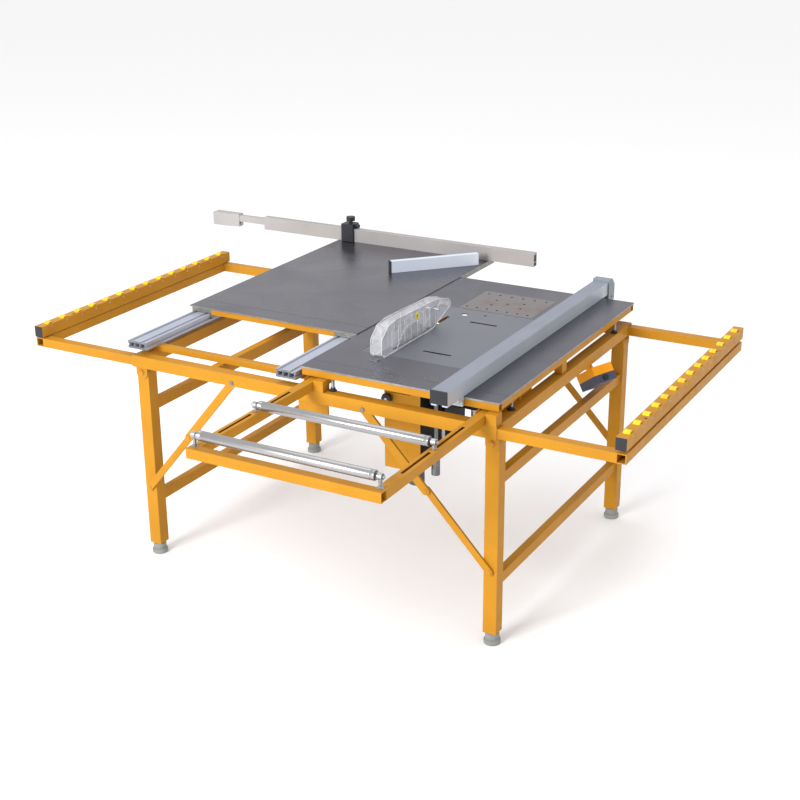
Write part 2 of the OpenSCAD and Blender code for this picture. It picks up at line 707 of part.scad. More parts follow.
module lift_plate() color("dimgray") difference() {
    union() {
        block(plate_x, plate_x + 10, rod_y1 - 30, rod_y2 + 18, bz - 215, bz + 25);
        block(plate_x - 6, plate_x + 20, rod_y1 - 14, rod_y1 + 14, bz - 215, bz + 25);
        block(plate_x - 6, plate_x + 20, rod_y2 - 14, rod_y2 + 14, bz - 215, bz + 25);
        block(plate_x - 6, plate_x + 20, screw_y - 16, rod_y1 - 14, bz - 215, bz - 185);
        block(plate_x + 10, plate_x + 110, by - 34, by + 34, bz - 30, bz + 24);
    }
    for (y = [rod_y1, rod_y2]) translate([plate_x + 5, y, bz - 216]) cylinder(r = rod_r + run, h = 242);
    translate([screw_x, screw_y, bz - 216]) cylinder(r = rod_r + run, h = 32);
    rod_x(by, bz, plate_x - 8, plate_x + 111, 12 + run);
    rod_x(motor_y, motor_z, plate_x - 8, plate_x + 12, 9 + run);
}

module motor() color("black") difference() {
    union() {
        rod_x(motor_y, motor_z, plate_x + 10, plate_x + 200, motor_r);
        translate([plate_x, motor_y, motor_z + motor_r]) block(60, 150, -40, 40, -10, 26);
    }
    for (i = [0:8]) difference() {
        rod_x(motor_y, motor_z, plate_x + 22 + i * 17, plate_x + 30 + i * 17, motor_r + 1);
        rod_x(motor_y, motor_z, plate_x + 21 + i * 17, plate_x + 31 + i * 17, motor_r - 5);
        block(plate_x, plate_x + 210, motor_y - 42, motor_y + 42, motor_z, motor_z + motor_r + 30);
    }
    rod_x(motor_y, motor_z, plate_x + 9, plate_x + 60, 9 + run);
}

module motor_pulley() color("gray") {
    rod_x(motor_y, motor_z, hx1 + 2, plate_x + 58, 9);
    difference() {
        rod_x(motor_y, motor_z, hx1 + 6, hx1 + 24, pulley_r);
        rod_x(motor_y, motor_z, hx1 + 5, hx1 + 25, 9);
    }
}

belt_len = sqrt(pow(motor_y - by, 2) + pow(motor_z - bz, 2));
belt_a = atan2(motor_z - bz, motor_y - by);

module belt_loop(r, x0, x1)
    translate([x0, by, bz]) rotate([belt_a, 0, 0]) rotate([90, 0, 90])
        linear_extrude(x1 - x0) stadium(belt_len, r);

module drive_belt() color("black") difference() {
    belt_loop(pulley_r + belt_t, hx1 + 8, hx1 + 22);
    belt_loop(pulley_r + 0.3, hx1 + 7, hx1 + 23);
}

module belt_cover() color("black") difference() {
    belt_loop(cover_r, hx1 + 2, plate_x);
    belt_loop(cover_r - 2, hx1 + 4, plate_x + 1);
    rod_x(by, bz, hx1 + 1, hx1 + 6, 14);
    rod_x(motor_y, motor_z, hx1 + 1, hx1 + 6, 11);
}

module lift_screw() color("silver") translate([screw_x, screw_y, 0]) {
    translate([0, 0, rod_z0 - 85]) cylinder(r = 16, h = 70.5);
    translate([0, 0, rod_z0 - 15]) cylinder(r = rod_r, h = frame_z - rod_z0 + 14);
}

// clear guard over the blade, lifting about a bolt at its back
guard_y0 = by - 262;
guard_y1 = by + 262;
guard_z = table_h + 5;
guard_pz = table_h + 66;
guard_py = by + 165;

module guard_side(x0, x1) translate([x0, 0, 0]) rotate([90, 0, 90]) linear_extrude(x1 - x0)
    polygon([[guard_y0, guard_z + 10], [guard_y0 + 14, guard_z], [guard_y1 - 140, guard_z],
             [guard_y1, guard_z + 52], [guard_y1, guard_z + 68], [guard_y1 - 20, guard_z + 84],
             [guard_y1 - 110, guard_z + 106], [guard_y0 + 110, guard_z + 115],
             [guard_y0 + 46, guard_z + 106], [guard_y0, guard_z + 66]]);

module blade_guard() color("lightcyan", 0.4) {
    difference() {
        guard_side(bx - 22, bx + 22);
        translate([0, 0, -3]) difference() {
            guard_side(bx - 19, bx + 19);
            block(bx - 30, bx + 30, guard_y0 - 10, guard_y0 + 3, guard_z - 20, guard_z + 200);
            block(bx - 30, bx + 30, guard_y1 - 3, guard_y1 + 10, guard_z - 20, guard_z + 200);
        }
        rod_x(guard_py, guard_pz, bx - 30, bx + 30, 4 + run);
    }
}

// ---- controls ----
// The box hangs tilted: x along its short side, y down through its two halves, z to its back.
ctl_x = xr - 7;
ctl_y = -yb + 809;
ctl_z = beam_bot - 19;
ctl_turn = [-123.965, -5.535, 59.421];
ctl_w = 90;
ctl_split = 34;
ctl_h = 66;
ctl_d = 118;
ctl_wall = 3;
button_r = 11;
button_x = 44;
button_y = 50;

module ctl_place() translate([ctl_x, ctl_y, ctl_z]) rotate(ctl_turn) children();

module control_box() color("orange") {
    ctl_place() difference() {
        block(0, ctl_w, 0, ctl_split, 0, ctl_d);
        block(ctl_wall, ctl_w - ctl_wall, ctl_wall, ctl_split + 1, ctl_wall, ctl_d - ctl_wall);
    }
    block(ctl_x - 30, ctl_x - 10, ctl_y + 8, ctl_y + 30, ctl_z - 16, beam_bot);
}

module control_cover() color("darkslategray") ctl_place() difference() {
    block(0, ctl_w, ctl_split, ctl_h, 0, ctl_d);
    block(ctl_wall, ctl_w - ctl_wall, ctl_split - 1, ctl_h - ctl_wall, ctl_wall + 9, ctl_d - ctl_wall);
    translate([button_x, button_y, -1]) cylinder(r = button_r + 0.3, h = 9);
}

module start_button() color("dimgray") ctl_place()
    translate([button_x, button_y, -6]) cylinder(r = button_r, h = 10);

// clamping knob on the front of the saw's housing
knob_x = hx0 + 18;
knob_z = table_h - 180;
knob_r = 20;

module side_knob() color("black") {
    rod_y(knob_x, knob_z, hy0 - 24, hy0 - 6, knob_r);
    rod_y(knob_x, knob_z, hy0 - 6, hy0 + 12, pin_r);
}

place() front_beam();
place() back_beam();
place() long_beams();
place() leg_brackets();
place() pivot_bolts();
place() rail_supports();
place() slide_rails();
place() table_studs();
place() table_frame();
place() table_top();
place() insert_plates();
place() arm_guides();
place() saw_housing();
place() dust_port();
place() lift_guides();
place() riving_knife();
place() control_box();
place() control_cover();
place() start_button();
place() side_knob();
place() right_legs();
place() right_leg_rails();
place() right_feet();
place() left_legs();
place() left_leg_rails();
place() left_feet();
place() right_upper_links();
place() right_lower_links();
place() left_upper_links();
place() left_lower_links();
place() right_ext_frame();
place() right_strip();
place() right_wheels();
place() left_ext_frame();
place() left_strip();
place() left_wheels();
place() roller_frame();
place() roller_posts();
place() front_roller();
place() back_roller();
place() slide_top();
place() slide_frame();
place() carriages();
place() cross_fence();
place() fence_bar();
place() flip_stop();
place() mitre_bar();
place() rip_fence();
place() rip_cap();
place() rip_lock();
place() rip_lever();
place() blade_guard();
place() saw_blade();
place() arbor();
place() lift_plate();
place() motor();
place() motor_pulley();
place() drive_belt();
place() belt_cover();
place() lift_screw();
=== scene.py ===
import json
import math
import random

import bmesh
import bpy
from mathutils import Euler, Matrix, Vector


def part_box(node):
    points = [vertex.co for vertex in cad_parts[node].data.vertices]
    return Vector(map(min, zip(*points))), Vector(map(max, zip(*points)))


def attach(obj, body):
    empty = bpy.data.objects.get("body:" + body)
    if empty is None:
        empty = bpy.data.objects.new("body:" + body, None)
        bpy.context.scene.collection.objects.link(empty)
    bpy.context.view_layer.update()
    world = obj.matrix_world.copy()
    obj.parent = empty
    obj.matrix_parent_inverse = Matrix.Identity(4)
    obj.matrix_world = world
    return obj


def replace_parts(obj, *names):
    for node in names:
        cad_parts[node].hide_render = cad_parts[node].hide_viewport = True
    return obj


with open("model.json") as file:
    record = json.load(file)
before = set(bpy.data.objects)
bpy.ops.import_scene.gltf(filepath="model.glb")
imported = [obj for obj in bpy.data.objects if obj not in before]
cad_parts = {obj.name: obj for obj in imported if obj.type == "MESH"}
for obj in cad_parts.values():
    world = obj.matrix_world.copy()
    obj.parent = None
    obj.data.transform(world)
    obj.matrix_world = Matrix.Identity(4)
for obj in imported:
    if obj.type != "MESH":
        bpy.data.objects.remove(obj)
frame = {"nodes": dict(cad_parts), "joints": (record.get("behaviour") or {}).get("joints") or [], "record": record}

random.seed(7)
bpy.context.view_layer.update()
JOINTS = {j["name"]: j for j in frame["joints"]}
BODY_OF = {n: b for b, ns in frame["record"]["behaviour"]["bodies"].items() for n in ns}
SLOT_OF = {p["node"]: p["material_slot"] for p in frame["record"]["subparts"]}
MM = 0.001
X, Y, Z = Vector((1, 0, 0)), Vector((0, 1, 0)), Vector((0, 0, 1))


def place(joint):
    return Vector(JOINTS[joint]["pos_m"])


def low(node):
    return Vector(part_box(node)[0])


def high(node):
    return Vector(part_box(node)[1])


# ---- materials ----
class Shade:
    """A procedural material: its Principled shader and the few nodes that drive it."""

    def __init__(self, name, color, rough, metal=0.0):
        self.mat = bpy.data.materials.new(name)
        self.mat.use_nodes = True
        self.tree = self.mat.node_tree
        self.bsdf = self.tree.nodes["Principled BSDF"]
        self.bsdf.inputs["Base Color"].default_value = (*color, 1)
        self.bsdf.inputs["Roughness"].default_value = rough
        self.bsdf.inputs["Metallic"].default_value = metal
        self.mat.diffuse_color = (*color, 1)
        self.color, self.rough = color, rough
        self.pos = self.node("ShaderNodeTexCoord").outputs["Object"]
        self.normal = None

    def node(self, kind, **values):
        n = self.tree.nodes.new(kind)
        for key, value in values.items():
            setattr(n, key, value)
        return n

    def feed(self, socket, value):
        if isinstance(value, bpy.types.NodeSocket):
            self.tree.links.new(value, socket)
        else:
            socket.default_value = value

    def stretched(self, scale):
        n = self.node("ShaderNodeMapping")
        self.feed(n.inputs["Vector"], self.pos)
        n.inputs["Scale"].default_value = scale
        return n.outputs["Vector"]

    def noise(self, scale, detail=3.0, stretch=None, distortion=0.0):
        n = self.node("ShaderNodeTexNoise")
        self.feed(n.inputs["Vector"], self.stretched(stretch) if stretch else self.pos)
        n.inputs["Scale"].default_value = scale
        n.inputs["Detail"].default_value = detail
        n.inputs["Distortion"].default_value = distortion
        return n.outputs["Fac"]

    def axis(self, name):
        n = self.node("ShaderNodeSeparateXYZ")
        self.feed(n.inputs[0], self.pos)
        return n.outputs[name]

    def math(self, operation, a, b=0.0):
        n = self.node("ShaderNodeMath", operation=operation)
        self.feed(n.inputs[0], a)
        self.feed(n.inputs[1], b)
        return n.outputs[0]

    def remap(self, value, lo, hi, a=0.0, b=1.0):
        n = self.node("ShaderNodeMapRange")
        for i, v in enumerate((value, lo, hi, a, b)):
            self.feed(n.inputs[i], v)
        return n.outputs[0]

    def mix(self, fac, a, b):
        n = self.node("ShaderNodeMix", data_type="RGBA")
        self.feed(n.inputs[0], fac)
        self.feed(n.inputs[6], a if isinstance(a, bpy.types.NodeSocket) else (*a, 1))
        self.feed(n.inputs[7], b if isinstance(b, bpy.types.NodeSocket) else (*b, 1))
        return n.outputs[2]

    def worn_edge(self, radius):
        """1 along convex edges, broken up by noise."""
        bevel = self.node("ShaderNodeBevel", samples=4)
        bevel.inputs["Radius"].default_value = radius
        geometry = self.node("ShaderNodeNewGeometry")
        dot = self.node("ShaderNodeVectorMath", operation="DOT_PRODUCT")
        self.feed(dot.inputs[0], bevel.outputs[0])
        self.feed(dot.inputs[1], geometry.outputs["True Normal"])
        edge = self.remap(dot.outputs["Value"], 0.97, 0.75)
        return self.math("MULTIPLY", edge, self.remap(self.noise(90, 4), 0.35, 0.62))

    def bump(self, height, strength, distance=0.001):
        n = self.node("ShaderNodeBump")
        n.inputs["Strength"].default_value = strength
        n.inputs["Distance"].default_value = distance
        self.feed(n.inputs["Height"], height)
        if self.normal:
            self.feed(n.inputs["Normal"], self.normal)
        self.normal = n.outputs[0]
        self.feed(self.bsdf.inputs["Normal"], self.normal)

    def paint(self, color):
        self.feed(self.bsdf.inputs["Base Color"], color)

    def roughen(self, value):
        self.feed(self.bsdf.inputs["Roughness"], value)

    def set(self, **sockets):
        for key, value in sockets.items():
            self.bsdf.inputs[key.replace("_", " ")].default_value = value
        return self


def times(color, k):
    return tuple(min(1.0, c * k) for c in color)


def powder_coat(name, color, wear=0.55):
    """Powder coat: orange peel, slow tone drift, dust film and paint rubbed paler on edges."""
    s = Shade(name, color, 0.36)
    drift = s.remap(s.noise(5, 3), 0.3, 0.7)
    tone = s.mix(drift, times(color, 0.93), times(color, 1.06))
    grime = s.remap(s.noise(38, 5, distortion=0.6), 0.60, 0.78, 0, 0.22)
    tone = s.mix(grime, tone, times(color, 0.62))
    pale = tuple(c + (0.9 - c) * 0.35 for c in color)
    s.paint(s.mix(s.math("MULTIPLY", s.worn_edge(1.6 * MM), wear), tone, pale))
    s.roughen(s.remap(s.noise(22, 4), 0.3, 0.7, 0.28, 0.46))
    s.bump(s.noise(750, 2), 0.12, 0.4 * MM)
    s.bump(s.noise(14, 2), 0.05, 1.5 * MM)
    return s.set(Coat_Weight=0.04, Coat_Roughness=0.3, Specular_IOR_Level=0.06).mat


def ground_steel(name, color, rough, lines, crease=None, rust=None):
    """Ground sheet steel: fine grinding lines, blotchy oil film, and a pressed crease across it, darkened along
    its line with painted shade.
    """
    s = Shade(name, color, rough, 0.85)
    grain = s.noise(420, 2, stretch=lines)
    film = s.remap(s.noise(3.2, 4, distortion=0.8), 0.3, 0.7)
    tone = s.mix(film, times(color, 0.90), times(color, 1.08))
    tone = s.mix(s.remap(grain, 0.3, 0.7, 0, 0.25), tone, times(color, 1.25))
    spots = s.remap(s.noise(120, 3), 0.68, 0.76, 0, 0.3)
    tone = s.mix(spots, tone, times(color, 0.6))
    if crease is not None:
        gap = s.math("ABSOLUTE", s.math("SUBTRACT", s.axis("Y"), crease))
        crease_dent_and_shade = s.remap(gap, 2.6 * MM, 0.8 * MM)
        # The crease's dent is a real bump; the dark line laid along it is painted shade in the groove.
        tone = s.mix(s.math("MULTIPLY", crease_dent_and_shade, 0.75), tone, times(color, 0.3))
        s.bump(s.math("MULTIPLY", crease_dent_and_shade, -1.0), 0.6, 0.6 * MM)
    if rust is not None:
        gap = s.math("ABSOLUTE", s.math("SUBTRACT", s.axis("Y"), rust))
        stain = s.math("MULTIPLY", s.remap(gap, 70 * MM, 10 * MM), s.remap(s.noise(16, 4), 0.45, 0.62))
        tone = s.mix(s.math("MULTIPLY", stain, 0.5), tone, (0.20, 0.11, 0.08))
    s.paint(tone)
    s.roughen(s.remap(s.math("ADD", grain, film), 0.6, 1.4, rough - 0.05, rough + 0.10))
    s.bump(grain, 0.018, 0.2 * MM)
    s.bump(s.noise(3, 1), 0.025, 2 * MM)
    return s.mat


def extruded(name, color, lines, rough=0.32, metal=0.75):
    """Anodised extrusion: long die lines, slow tone drift, small handling marks."""
    s = Shade(name, color, rough, metal)
    die = s.noise(240, 2, stretch=lines)
    drift = s.remap(s.noise(4, 3), 0.3, 0.7)
    tone = s.mix(drift, times(color, 0.93), times(color, 1.05))
    marks = s.remap(s.noise(70, 5, distortion=1.0), 0.66, 0.74, 0, 0.25)
    s.paint(s.mix(marks, tone, times(color, 0.7)))
    s.roughen(s.remap(die, 0.3, 0.7, rough - 0.06, rough + 0.10))
    s.bump(die, 0.10, 0.25 * MM)
    return s.mat


def plated(name, color, rough=0.30, lines=(1, 1, 1)):
    """Zinc plate and turned steel: cloudy tone, fine scratches."""
    s = Shade(name, color, rough, 0.9)
    cloud = s.remap(s.noise(45, 4, distortion=0.5), 0.3, 0.7)
    s.paint(s.mix(cloud, times(color, 0.78), times(color, 1.12)))
    scratch = s.noise(300, 2, stretch=lines)
    s.roughen(s.remap(scratch, 0.3, 0.7, rough - 0.1, rough + 0.14))
    s.bump(scratch, 0.08, 0.2 * MM)
    return s.mat


def turned(name, color, rough=0.22):
    """Turned tube: fine tool rings round its X axis, an even tone and faint rub marks."""
    s = Shade(name, color, rough, 0.9)
    s.paint(s.mix(s.remap(s.noise(6, 2), 0.3, 0.7), times(color, 0.95), times(color, 1.04)))
    rings = s.noise(40, 2, stretch=(1, 0.02, 0.02))
    s.roughen(s.remap(s.math("ADD", rings, s.noise(30, 3)), 0.7, 1.3, rough - 0.02, rough + 0.04))
    s.bump(rings, 0.004, 0.1 * MM)
    return s.mat


def moulded(name, color, rough=0.5, grain=420, gloss=0.0):
    """Moulded plastic or rubber: leather grain, tone drift, scuffs paler on the edges."""
    s = Shade(name, color, rough)
    drift = s.remap(s.noise(12, 3), 0.3, 0.7)
    tone = s.mix(drift, times(color, 0.85), times(color, 1.12))
    scuffed = tuple(c + (0.6 - c) * 0.3 for c in color)
    s.paint(s.mix(s.math("MULTIPLY", s.worn_edge(1.2 * MM), 0.5), tone, scuffed))
    s.roughen(s.remap(s.noise(60, 3), 0.3, 0.7, rough - 0.08, rough + 0.1))
    s.bump(s.noise(grain, 2), 0.18, 0.3 * MM)
    return s.set(Coat_Weight=gloss, Coat_Roughness=0.15, Specular_IOR_Level=0.28).mat


def clear_plastic(name, thin, thick):
    """Clear polycarbonate: milky haze, rub marks and moulding ripples, denser where it is rubbed."""
    s = Shade(name, (0.80, 0.80, 0.84), 0.16)
    haze = s.remap(s.noise(22, 4, distortion=0.7), 0.35, 0.75)
    s.paint(s.mix(haze, (0.80, 0.81, 0.85), (0.97, 0.96, 0.98)))
    s.roughen(s.remap(haze, 0, 1, 0.10, 0.28))
    s.bump(s.noise(60, 3, stretch=(1, 1, 0.5)), 0.10, 0.6 * MM)
    rub = s.remap(s.noise(35, 5, stretch=(1, 1, 0.4), distortion=1.0), 0.3, 0.7, thin, thick)
    s.feed(s.bsdf.inputs["Alpha"], rub)
    return s.set(Coat_Weight=0.4, Coat_Roughness=0.08, IOR=1.5).mat


YELLOW = (0.455, 0.204, 0.016)
ALONG_X, ALONG_Y = (0.02, 1, 1), (1, 0.02, 1)
RUST_FROM_BACK = 125 * MM
CREASE_FROM_FRONT = {"table_top": 75 * MM, "slide_top": 85 * MM}
coat = powder_coat("yellow_paint", YELLOW)
coat_orange = powder_coat("control_paint", (0.97, 0.38, 0.012), 0.3)
steel_main = ground_steel("table_sheet", (0.104, 0.104, 0.126), 0.31, ALONG_Y,
                          low("table_top").y + CREASE_FROM_FRONT["table_top"])
steel_slide = ground_steel("slide_sheet", (0.104, 0.101, 0.124), 0.27, ALONG_X,
                           low("slide_top").y + CREASE_FROM_FRONT["slide_top"])
steel_plate = ground_steel("insert_sheet", (0.175, 0.182, 0.215), 0.36, ALONG_X)
steel_router = ground_steel("router_sheet", (0.215, 0.195, 0.200), 0.42, ALONG_Y,
                            rust=high("insert_plates").y - RUST_FROM_BACK)
steel_edge = plated("cut_edge", (0.30, 0.29, 0.28), 0.42, ALONG_X)
alu_y = extruded("rail_aluminium", (0.38, 0.405, 0.485), ALONG_Y, 0.36, 0.4)
alu_fence = extruded("fence_aluminium", (0.205, 0.222, 0.275), ALONG_Y, 0.45, 0.1)
# The rip fence's side faces: the same anodised aluminium as its top, painted lighter as a painted reflection of
# the bright surroundings.
alu_painted_reflection_side = extruded("fence_painted_reflection_side", (0.46, 0.50, 0.56), ALONG_Y, 0.42, 0.15)
alu_warm = extruded("crosscut_aluminium", (0.37, 0.352, 0.345), ALONG_X, 0.42, 0.3)
alu_cool = extruded("angle_aluminium", (0.62, 0.67, 0.76), ALONG_X, 0.38, 0.2)
alu_cast = extruded("cast_aluminium", (0.22, 0.25, 0.28), (1, 1, 1), 0.46, 0.4)
zinc = plated("zinc_plate", (0.42, 0.43, 0.43), 0.34)
zinc_dark = plated("dark_zinc", (0.20, 0.20, 0.205), 0.44)
# Near-black blued steel for the plate screws, also used as painted shade on the walls of the insert plates' holes
# and slots.
screw_blue_and_hole_shade = plated("screw_blueing_and_hole_shade", (0.045, 0.045, 0.05), 0.5)
carriage_skin = plated("carriage_zinc", (0.27, 0.27, 0.245), 0.42)
roller_skin = turned("roller_steel", (0.34, 0.335, 0.34), 0.27)
port_skin = moulded("port_grey", (0.070, 0.084, 0.086), 0.5)
blade_skin = plated("blade_steel", (0.62, 0.62, 0.64), 0.3)
black = moulded("black_plastic", (0.022, 0.023, 0.028), 0.45)
slate = moulded("slate_plastic", (0.058, 0.066, 0.105), 0.46, gloss=0.1)
rubber = moulded("belt_rubber", (0.018, 0.018, 0.018), 0.75, 200)
grey = moulded("foot_grey", (0.235, 0.245, 0.230), 0.5, gloss=0.15)
wheel_skin = moulded("wheel_yellow", (0.96, 0.54, 0.008), 0.36, 260, gloss=0.1)
dot_skin = moulded("dot_yellow", (0.95, 0.72, 0.02), 0.4, 300)
motor_skin = powder_coat("motor_black", (0.011, 0.011, 0.013), 0.15)
housing_dark = powder_coat("housing_black_inside_and_right", (0.013, 0.012, 0.012), 0.1)
clear = clear_plastic("clear_guard", 0.09, 0.26)
clear_rim = clear_plastic("clear_rim", 0.30, 0.55)


# ---- pieces ----
def smooth(mesh, degrees=38):
    mesh.shade_smooth()
    mesh.set_sharp_from_angle(angle=math.radians(degrees))


def dressed(node, mats, width=1.0, choose=None, segments=2):
    """A copy of a CAD node with every hard edge really rounded, in its finished materials."""
    source = frame["nodes"][node]
    mesh = source.data.copy()
    bm = bmesh.new()
    bm.from_mesh(mesh)
    bmesh.ops.remove_doubles(bm, verts=bm.verts, dist=0.01 * MM)
    bmesh.ops.dissolve_limit(bm, angle_limit=math.radians(0.6), verts=bm.verts, edges=bm.edges)
    volume = abs(bm.calc_volume())
    spare = bm.copy()
    sharp = [e for e in bm.edges if len(e.link_faces) == 2 and e.calc_face_angle(0) > math.radians(35)]
    bmesh.ops.bevel(bm, geom=sharp, offset=width * MM, segments=segments, profile=0.6,
                    affect="EDGES", clamp_overlap=True)
    if abs(abs(bm.calc_volume()) - volume) > 0.03 * volume:
        print("left unrounded:", node)
        bm.free()
        bm = spare
    mats = mats if isinstance(mats, (list, tuple)) else [mats]
    if choose:
        for f in bm.faces:
            f.material_index = choose(f.calc_center_median(), f.normal)
    else:
        for f in bm.faces:
            f.material_index = 0
    mesh.materials.clear()
    for m in mats:
        mesh.materials.append(m)
    bm.to_mesh(mesh)
    bm.free()
    smooth(mesh, 60)
    piece = bpy.data.objects.new(node + "_finished", mesh)
    bpy.context.collection.objects.link(piece)
    weighted = piece.modifiers.new("weighted", "WEIGHTED_NORMAL")
    weighted.keep_sharp = True
    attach(piece, BODY_OF[node])
    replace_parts(piece, node)
    return piece


class Kit:
    """Small detail shapes that share a body and a material, gathered in one mesh."""

    def __init__(self, name, body, mat, slot):
        self.name, self.body, self.mat, self.slot = name, body, mat, slot
        self.bm = bmesh.new()

    def grid(self, rings, closed=True):
        rows = [[self.bm.verts.new(p) for p in ring] for ring in rings]
        n = len(rows[0])
        for a, b in zip(rows, rows[1:]):
            for i in range(n if closed else n - 1):
                j = (i + 1) % n
                self.bm.faces.new((a[i], a[j], b[j], b[i]))
        return rows

    def lathe(self, at, axis, profile, segs=32):
        """profile is (radius, height) in mm from the bottom up, turned round axis."""
        turn = Z.rotation_difference(Vector(axis)).to_matrix()
        rings = []
        for r, h in profile:
            ring = [turn @ Vector((r * math.cos(t), r * math.sin(t), h)) * MM + Vector(at)
                    for t in (2 * math.pi * i / segs for i in range(segs))]
            rings.append(ring)
        rows = self.grid(rings)
        self.bm.faces.new(list(reversed(rows[0])))
        self.bm.faces.new(rows[-1])

    def hexagon(self, at, axis, across, height):
        """A hexagon head or nut with chamfered corners."""
        r = across / math.sqrt(3)
        c = 0.12 * across
        self.lathe(at, axis, [(r * 0.9, 0), (r, c * 0.5), (r, height - c * 0.5), (r * 0.88, height)], 6)

    def ring(self, at, axis, inner, outer, height, segs=32):
        turn = Z.rotation_difference(Vector(axis)).to_matrix()
        c = min(0.8, height / 4)
        profile = [(inner, c), (inner + c, 0), (outer - c, 0), (outer, c),
                   (outer, height - c), (outer - c, height), (inner + c, height), (inner, height - c)]
        rings = [[turn @ Vector((r * math.cos(t), r * math.sin(t), h)) * MM + Vector(at)
                  for t in (2 * math.pi * i / segs for i in range(segs))] for r, h in profile]
        self.grid(rings + [rings[0]])

    def weld(self, a, b, radius=2.6):
        """A rippled bead from a to b."""
        a, b = Vector(a), Vector(b)
        along = (b - a).normalized()
        side = along.orthogonal().normalized()
        up = along.cross(side)
        count = max(4, int((b - a).length / (2.4 * MM)))
        rings = []
        for i in range(count + 1):
            centre = a.lerp(b, i / count)
            end = min(i, count - i)
            r = radius * MM * (0.35 if end == 0 else 0.86 + 0.14 * (i % 2) + 0.1 * random.random())
            rings.append([centre + (side * math.cos(t) + up * math.sin(t)) * r
                          for t in (math.tau * k / 8 for k in range(8))])
        rows = self.grid(rings)
        self.bm.faces.new(list(reversed(rows[0])))
        self.bm.faces.new(rows[-1])

    def block(self, lo, hi, bevel=1.0):
        lo, hi = Vector(lo), Vector(hi)
        made = bmesh.ops.create_cube(self.bm, size=1)["verts"]
        bmesh.ops.scale(self.bm, verts=made, vec=hi - lo)
        bmesh.ops.translate(self.bm, verts=made, vec=(lo + hi) / 2)
        edges = list({e for v in made for e in v.link_edges})
        bmesh.ops.bevel(self.bm, geom=edges, offset=bevel * MM, segments=2, profile=0.6, affect="EDGES")

    def done(self):
        bmesh.ops.remove_doubles(self.bm, verts=self.bm.verts, dist=0.001 * MM)
        bmesh.ops.recalc_face_normals(self.bm, faces=self.bm.faces)
        mesh = bpy.data.meshes.new(self.name)
        self.bm.to_mesh(mesh)
        self.bm.free()
        mesh.materials.append(self.mat)
        smooth(mesh)
        piece = bpy.data.objects.new(self.name, mesh)
        bpy.context.collection.objects.link(piece)
        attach(piece, self.body)
        return piece


DOME = [(1.0, 0.0), (1.0, 0.25), (0.93, 0.55), (0.72, 0.85), (0.42, 1.0)]


def dome_bolt(kit, at, axis, radius, height):
    kit.lathe(at, axis, [(r * radius, h * height) for r, h in DOME])


# ---- frame ----
def on_side(axis):
    """0 for faces that look up or down, 1 for the cut edges."""
    return lambda centre, normal: 0 if abs(normal[axis]) > 0.8 else 1


def dress_frame():
    tubes = ["front_beam", "back_beam", "long_beams", "leg_brackets", "rail_supports", "table_frame",
             "arm_guides", "right_legs", "right_leg_rails", "left_legs", "left_leg_rails",
             "right_upper_links", "right_lower_links", "left_upper_links", "left_lower_links",
             "right_ext_frame", "left_ext_frame", "roller_frame", "slide_frame"]
    for node in tubes:
        dressed(node, coat, 1.4)


def dress_housing():
    """Painted outside, black inside and along the side beside the motor."""
    lo, hi = low("saw_housing"), high("saw_housing")
    middle = (lo + hi) / 2

    # Faces turned inward and the +X side take the near-black coat.
    def blackened(centre, normal):
        inward = (middle - centre).dot(normal) > 4 * MM
        return 1 if inward or normal.x > 0.8 else 0

    dressed("saw_housing", [coat, housing_dark], 1.4, blackened)


def dress_strips():
    for side in ("right", "left"):
        lo, hi = low(side + "_strip").y, high(side + "_strip").y
        dressed(side + "_strip", [coat, black], 1.2,
                lambda c, n, lo=lo, hi=hi: 1 if c.y < lo + 3.9 * MM or c.y > hi - 3.9 * MM else 0)


def strip_wheels(side):
    """Moulded wheels with a rounded tread, a lip and a hub recess."""
    node = side + "_wheels"
    lo, hi = low(node), high(node)
    radius = (hi.z - lo.z) / 2 / MM
    width = (hi.x - lo.x) / MM
    count = 14
    kit = Kit(node + "_moulded", BODY_OF[node], wheel_skin, SLOT_OF[node])
    pins = Kit(node + "_pins", BODY_OF[node], zinc, "zinc")
    strip_lo, strip_hi = low(side + "_strip"), high(side + "_strip")
    for i in range(count):
        t = i / (count - 1)
        y = (lo.y + radius * MM) * (1 - t) + (hi.y - radius * MM) * t
        at = Vector((lo.x, y, (lo.z + hi.z) / 2))
        tread = [(4.2, 3), (radius - 6, 3), (radius - 5, 0), (radius - 2, 0), (radius, 2.4),
                 (radius, width / 2 - 1.2), (radius - 1, width / 2 - 0.4), (radius - 1, width / 2 + 0.4),
                 (radius, width / 2 + 1.2), (radius, width - 2.4), (radius - 2, width),
                 (radius - 5, width), (radius - 6, width - 3), (4.2, width - 3)]
        kit.lathe(at, X, tread)
        for x, axis in ((strip_hi.x, X), (strip_lo.x, -X)):
            dome_bolt(pins, (x - 0.2 * MM * axis[0], y, at.z), axis, 3.6, 1.2)
    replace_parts(kit.done(), node)
    pins.done()
    plugs = Kit(side + "_strip_plugs", BODY_OF[side + "_strip"], black, "black_plastic")
    pitch = (hi.y - lo.y - 2 * radius * MM) / (count - 1)
    for gap in ((1.55,) if side == "right" else (1.55, 11.45)):
        plugs.lathe((strip_hi.x - 9 * MM, lo.y + radius * MM + gap * pitch, strip_hi.z - 0.4 * MM), Z,
                    [(5.6, 0), (5.6, 0.6), (5.2, 0.8), (2.0, 0.8)], 24)
    plugs.done()


